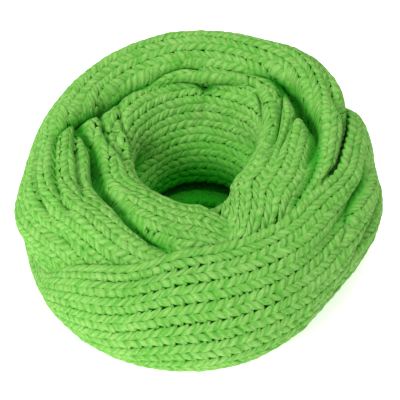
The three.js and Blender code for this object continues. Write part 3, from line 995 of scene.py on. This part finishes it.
def new_material(name):
    """A new material, with its node tree and its shader."""
    material = bpy.data.materials.new(name)
    material.use_nodes = True
    return material, material.node_tree, material.node_tree.nodes["Principled BSDF"]


def hollow_shade(tree, where, high, low):
    """How much painted shade a point gets in the hollow: 0 above one height, 1 below the other."""
    parts = node(tree, "ShaderNodeSeparateXYZ", {0: where})
    x = math_node(tree, "SUBTRACT", parts.outputs["X"], RING_CENTRE[0] * MM)
    y = math_node(tree, "SUBTRACT", parts.outputs["Y"], RING_CENTRE[1] * MM)
    squares = math_node(tree, "ADD", math_node(tree, "MULTIPLY", x, x), math_node(tree, "MULTIPLY", y, y))
    radius = math_node(tree, "SQRT", squares)
    near = map_range(tree, radius, *HOLLOW_RADII, interpolation="SMOOTHSTEP")
    deep = map_range(tree, parts.outputs["Z"], high, low, interpolation="SMOOTHSTEP")
    return math_node(tree, "MULTIPLY", near, deep)


def mix_colour(tree, amount, first, second):
    """A blend of two colours, as a socket; the second is a plain colour."""
    mixed = node(tree, "ShaderNodeMix", data_type="RGBA", clamp_factor=True)
    tree.links.new(amount, mixed.inputs[0])
    tree.links.new(first, mixed.inputs[6])
    mixed.inputs[7].default_value = second
    return mixed.outputs[2]


def shade_in_hollow(tree, where, colour):
    """The colour with painted shade: a richer green on the hollow's wall and a darker one at its bottom."""
    rich = math_node(tree, "MULTIPLY", hollow_shade(tree, where, *WALL_SHADE_HEIGHTS), WALL_SHADE)
    dark = math_node(tree, "MULTIPLY", hollow_shade(tree, where, *BOTTOM_SHADE_HEIGHTS), BOTTOM_SHADE)
    return mix_colour(tree, dark, mix_colour(tree, rich, colour, WALL_SHADE_GREEN), DARK_SHADE_GREEN)


def yarn_material():
    """Soft two-ply yarn: a twist along each strand, fine fibres, fuzz, some colour variation, painted shade.
    """
    material, tree, shader = new_material("green_yarn")
    strand = node(tree, "ShaderNodeUVMap", uv_map="strand").outputs["UV"]
    strand = node(tree, "ShaderNodeSeparateXYZ", {0: strand}).outputs
    sunk = node(tree, "ShaderNodeUVMap", uv_map="sunk").outputs["UV"]
    sunk = node(tree, "ShaderNodeSeparateXYZ", {0: sunk}).outputs
    where = node(tree, "ShaderNodeTexCoord").outputs["Object"]

    # The ply's dark lines between plies are painted shade in the tone, and grooves in the relief
    phase = weighted_sum(tree, strand, dict(zip("XY", PLY_TWIST)))
    ply = math_node(tree, "ABSOLUTE", math_node(tree, "SINE", math_node(tree, "MULTIPLY", phase, math.pi)))

    stretch = node(tree, "ShaderNodeCombineXYZ")
    for axis, factor in zip("XY", FIBRE_STRETCH):
        tree.links.new(math_node(tree, "MULTIPLY", strand[axis], factor), stretch.inputs[axis])
    fibres = noise(tree, stretch.outputs["Vector"], scale=1.0, detail=3.0, roughness=0.65)
    fuzz = noise(tree, where, scale=320.0, detail=3.0, roughness=0.6)
    tone = noise(tree, where, scale=55.0, detail=3.0, roughness=0.6)
    patterns = {"ply": ply, "fibres": fibres, "fuzz": fuzz, "tone": tone}

    colour = colour_ramp(tree, weighted_sum(tree, patterns, TONE_WEIGHTS), YARN_TONES)
    # Painted shade: a deep green where a strand is sunk between others, a dark green in creases
    colour = mix_colour(tree, math_node(tree, "MULTIPLY", sunk["X"], SUNK_SHADING), colour, SUNK_SHADE_GREEN)
    colour = mix_colour(tree, math_node(tree, "MULTIPLY", sunk["Y"], CREASE_SHADING), colour, DARK_SHADE_GREEN)
    tree.links.new(shade_in_hollow(tree, where, colour), shader.inputs["Base Color"])

    relief = weighted_sum(tree, patterns, RELIEF_WEIGHTS)
    bump = node(tree, "ShaderNodeBump", {"Height": relief, "Strength": 0.6, "Distance": 0.0012})
    tree.links.new(bump.outputs["Normal"], shader.inputs["Normal"])
    shader.inputs["Roughness"].default_value = 0.9
    shader.inputs["Specular IOR Level"].default_value = 0.2
    shader.inputs["Sheen Weight"].default_value = 0.2
    shader.inputs["Sheen Roughness"].default_value = 0.5
    shader.inputs["Sheen Tint"].default_value = (0.7, 1.0, 0.4, 1)
    return material


def backing_material():
    """The cloth's deeper strands, seen between the raised ones and on the hidden sides, in painted shade."""
    material, tree, shader = new_material("green_yarn_backing_shaded")
    where = node(tree, "ShaderNodeTexCoord").outputs["Object"]
    lumps = node(tree, "ShaderNodeTexVoronoi", {"Vector": where, "Scale": 230.0}, feature="SMOOTH_F1")
    fuzz = noise(tree, where, scale=380.0, detail=4.0, roughness=0.65)
    colour = shade_in_hollow(tree, where, colour_ramp(tree, fuzz, SHADED_BACKING_TONES))
    tree.links.new(colour, shader.inputs["Base Color"])
    relief = math_node(tree, "SUBTRACT", fuzz, lumps.outputs["Distance"])
    bump = node(tree, "ShaderNodeBump", {"Height": relief, "Strength": 0.6, "Distance": 0.0016})
    tree.links.new(bump.outputs["Normal"], shader.inputs["Normal"])
    shader.inputs["Roughness"].default_value = 0.95
    shader.inputs["Specular IOR Level"].default_value = 0.15
    shader.inputs["Sheen Weight"].default_value = 0.1
    return material


def add_light(name, location, energy, size):
    """An area light that shines on the middle of the ring."""
    data = bpy.data.lights.new(name, "AREA")
    data.energy = energy
    data.size = size
    light = bpy.data.objects.new(name, data)
    light.location = location
    way = Vector((0, 0, MIDDLE_HEIGHT)) - Vector(location)
    light.rotation_euler = way.to_track_quat("-Z", "Y").to_euler()
    bpy.context.scene.collection.objects.link(light)


def build_studio():
    """A pale floor, and soft light that comes mostly from the left."""
    floor_material, _, shader = new_material("pale_floor")
    shader.inputs["Base Color"].default_value = (0.95, 0.95, 0.95, 1)
    shader.inputs["Emission Color"].default_value = (1, 1, 1, 1)
    shader.inputs["Emission Strength"].default_value = FLOOR_GLOW
    shader.inputs["Roughness"].default_value = 0.9
    sides = np.array([[-1, -1], [1, -1], [1, 1], [-1, 1]])
    corners = np.column_stack([FLOOR_REACH * sides, np.full(len(sides), -FLOOR_DROP)])
    floor = new_object("floor", corners, [[0, 1, 2, 3]], floor_material)

    world = bpy.data.worlds.new("studio")
    world.use_nodes = True
    background = world.node_tree.nodes["Background"]
    background.inputs["Color"].default_value = (1, 1, 1, 1)
    way = node(world.node_tree, "ShaderNodeTexCoord").outputs["Generated"]
    way = node(world.node_tree, "ShaderNodeSeparateXYZ", {0: way}).outputs["X"]
    strength = map_range(world.node_tree, way, -1.0, 1.0, results=SKY_STRENGTHS)
    world.node_tree.links.new(strength, background.inputs["Strength"])
    bpy.context.scene.world = world
    bpy.context.scene.view_settings.view_transform = "Standard"
    bpy.context.scene.view_settings.look = "Medium High Contrast"
    for light in LIGHTS:
        add_light(*light)


def add_camera():
    """The camera of the photograph."""
    target = Vector((RING_CENTRE[0] * MM, RING_CENTRE[1] * MM, MIDDLE_HEIGHT))
    elevation = math.radians(CAMERA_ELEVATION)
    back = Vector((0, -math.cos(elevation), math.sin(elevation)))
    data = bpy.data.cameras.new("camera")
    data.sensor_width = CAMERA_SENSOR
    data.lens = CAMERA_SENSOR / 2 * FOCAL_PIXELS / HALF_PICTURE_PIXELS
    camera = bpy.data.objects.new("camera", data)
    camera.location = target + back * CAMERA_DISTANCE
    camera.rotation_euler = (-back).to_track_quat("-Z", "Y").to_euler()
    bpy.context.scene.collection.objects.link(camera)
    bpy.context.scene.camera = camera


def build_shells(outer, inner, backing):
    """The shell of each stretch, with the inner turn's cut back where other cloth takes the room."""
    shells = {}
    points = WALES * SHELL_POINTS + 1
    for turn, stretches in ((outer, OUTER_STRETCHES), (inner, INNER_STRETCHES)):
        for name, (start, end) in stretches.items():
            vertices, faces = wall_mesh(turn, start, end, SHELL_STEP, points)
            shells[name] = new_object(name + "_cloth", vertices, faces, backing)

    outer_keep_out, front_keep_out = [], []
    points = WALES * CUTTER_POINTS + 1
    for turn, stretches, kept in (
        (outer, {"left": (-180, 0), "right": (0, 180)}, outer_keep_out),
        (inner, {"front": INNER_STRETCHES["inner_turn_front"]}, front_keep_out),
    ):
        for name, (start, end) in stretches.items():
            vertices, faces = wall_mesh(turn, start, end, CUTTER_STEP, points, LAYER_GAP, -SEAM_GAP)
            kept.append(new_object("keep_out_" + name, vertices, faces, backing))
    for name in INNER_STRETCHES:
        cutters = outer_keep_out + (front_keep_out if name == "inner_turn_tuck" else [])
        cut_away(shells[name], cutters)
    for cutter in outer_keep_out + front_keep_out:
        bpy.data.objects.remove(cutter)
    return shells


def sight_tree(shells):
    """All the shells' faces as one tree, to look along rays past them."""
    corners, faces = [], []
    for shell in shells.values():
        offset = len(corners)
        corners.extend(vertex.co.copy() for vertex in shell.data.vertices)
        faces.extend([offset + k for k in face.vertices] for face in shell.data.polygons)
    return BVHTree.FromPolygons(corners, faces)


def declare(shells, stitches):
    """What each piece is in the shared frame."""
    for name, shell in shells.items():
        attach(shell, "root")
        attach(stitches[name], "root")
        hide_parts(name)


def main():
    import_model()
    build_studio()
    add_camera()
    yarn = yarn_material()
    backing = backing_material()
    inner_folds = {**INNER_TURN_FOLDS, **HOLLOW_UNDERCUT}
    cross_lines = INNER_TURN_CROSS_LINES
    outer = Turn(OUTER_TURN, OUTER_TURN_FOLDS, OUTER_TURN_LINES, {}, True, *OUTER_ENDS)
    inner = Turn(INNER_TURN, inner_folds, INNER_TURN_LINES, cross_lines, False, *INNER_ENDS, INNER_WIDTH)

    shells = build_shells(outer, inner, backing)
    tree = sight_tree(shells)
    rng = np.random.default_rng(RANDOM_SEED)
    stitches = dress(outer, OUTER_STRETCHES, *OUTER_ENDS, tree, yarn, rng)
    stitches.update(dress(inner, INNER_STRETCHES, *INNER_ENDS, tree, yarn, rng))
    declare(shells, stitches)


main()
